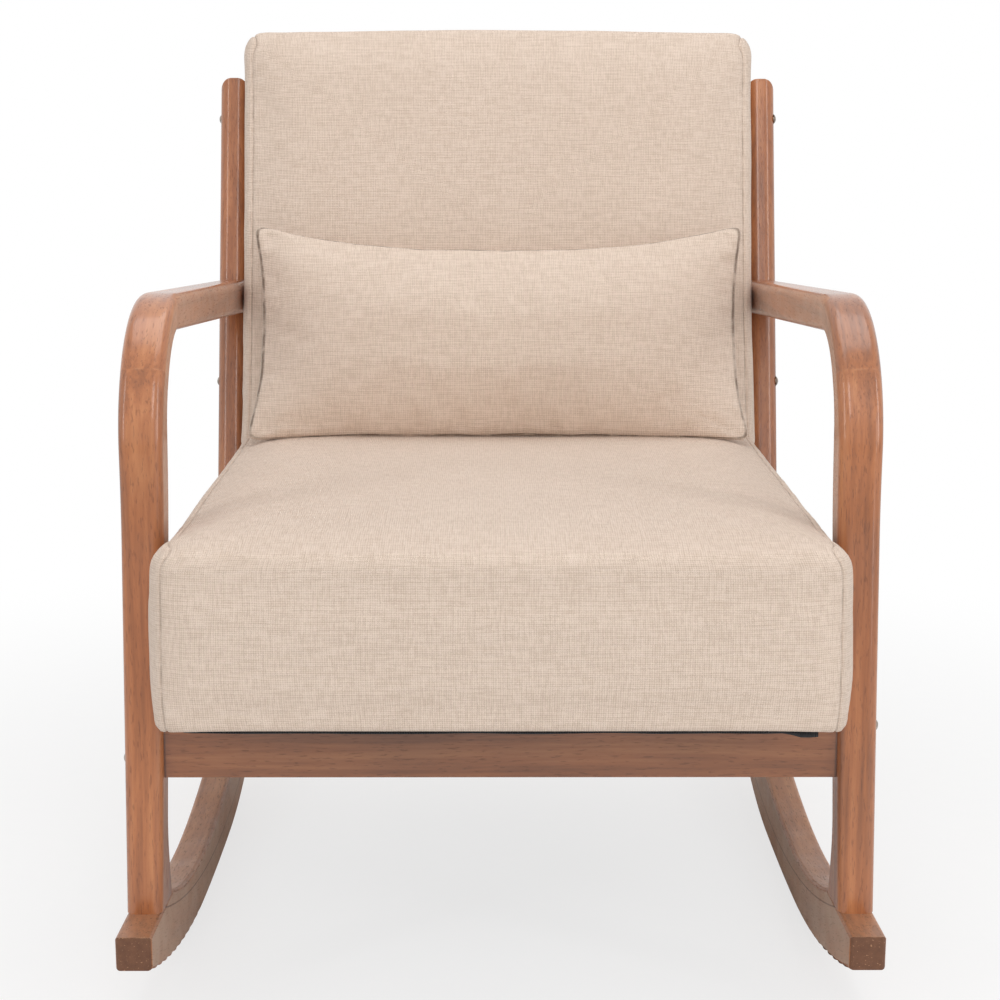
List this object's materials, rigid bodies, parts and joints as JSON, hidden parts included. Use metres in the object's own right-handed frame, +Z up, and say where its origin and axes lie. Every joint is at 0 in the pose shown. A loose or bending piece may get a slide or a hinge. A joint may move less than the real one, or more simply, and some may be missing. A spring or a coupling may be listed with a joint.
{
  "type": "upholstered rocking chair",
  "caption": "Rocking armchair with a stained wood frame, bow rockers and bent arms, an upholstered seat and back and a loose lumbar pillow.",
  "frame": {"origin": "on the floor, under the middle of the rockers' length and of the chair's width", "axes": "+X to the right of someone facing the chair, +Y to the chair's rear, +Z up"},
  "size_m": [0.653, 0.836, 0.8595],
  "materials": {
    "frame_wood": "stained, semi-gloss",
    "inner_wood": "sawn, bare",
    "dowel_wood": "turned, bare",
    "linen": "plain weave",
    "foam": "open cell",
    "webbing": "woven strap",
    "dust_cloth": "non-woven",
    "steel": "dull zinc"
  },
  "bodies": {
    "chair": {"arm_bolts": "steel", "armrest_left": "frame_wood", "armrest_right": "frame_wood", "back_bolts": "steel", "back_bottom_board": "inner_wood", "back_cover": "linen", "back_foam": "foam", "back_panel": "linen", "back_spacers": "steel", "back_stile_left": "inner_wood", "back_stile_right": "inner_wood", "back_straps": "webbing", "back_top_board": "inner_wood", "barrel_nuts": "steel", "block_screws": "steel", "corner_block_front_left": "inner_wood", "corner_block_front_right": "inner_wood", "corner_block_rear_left": "inner_wood", "corner_block_rear_right": "inner_wood", "dust_cover": "dust_cloth", "elbow_dowels": "frame_wood", "elbow_left": "frame_wood", "elbow_right": "frame_wood", "foot_dowels": "dowel_wood", "front_leg_left": "frame_wood", "front_leg_right": "frame_wood", "front_rail": "frame_wood", "rail_bolts": "steel", "rail_dowels": "dowel_wood", "rear_post_left": "frame_wood", "rear_post_right": "frame_wood", "rear_rail": "frame_wood", "rocker_left": "frame_wood", "rocker_right": "frame_wood", "rocker_screws": "frame_wood", "seat_board_front": "inner_wood", "seat_board_left": "inner_wood", "seat_board_rear": "inner_wood", "seat_board_right": "inner_wood", "seat_cover": "linen", "seat_cross_straps": "webbing", "seat_foam": "foam", "seat_long_straps": "webbing", "side_rail_left": "frame_wood", "side_rail_right": "frame_wood"},
    "pillow": {"pillow_cover": "linen", "pillow_filling": "foam"}
  },
  "joints": [
    {"name": "pillow_lift", "type": "slide", "parent": "chair", "child": "pillow", "axis": [0, 0, 1], "range_m": [0, 0.5]}
  ]
}
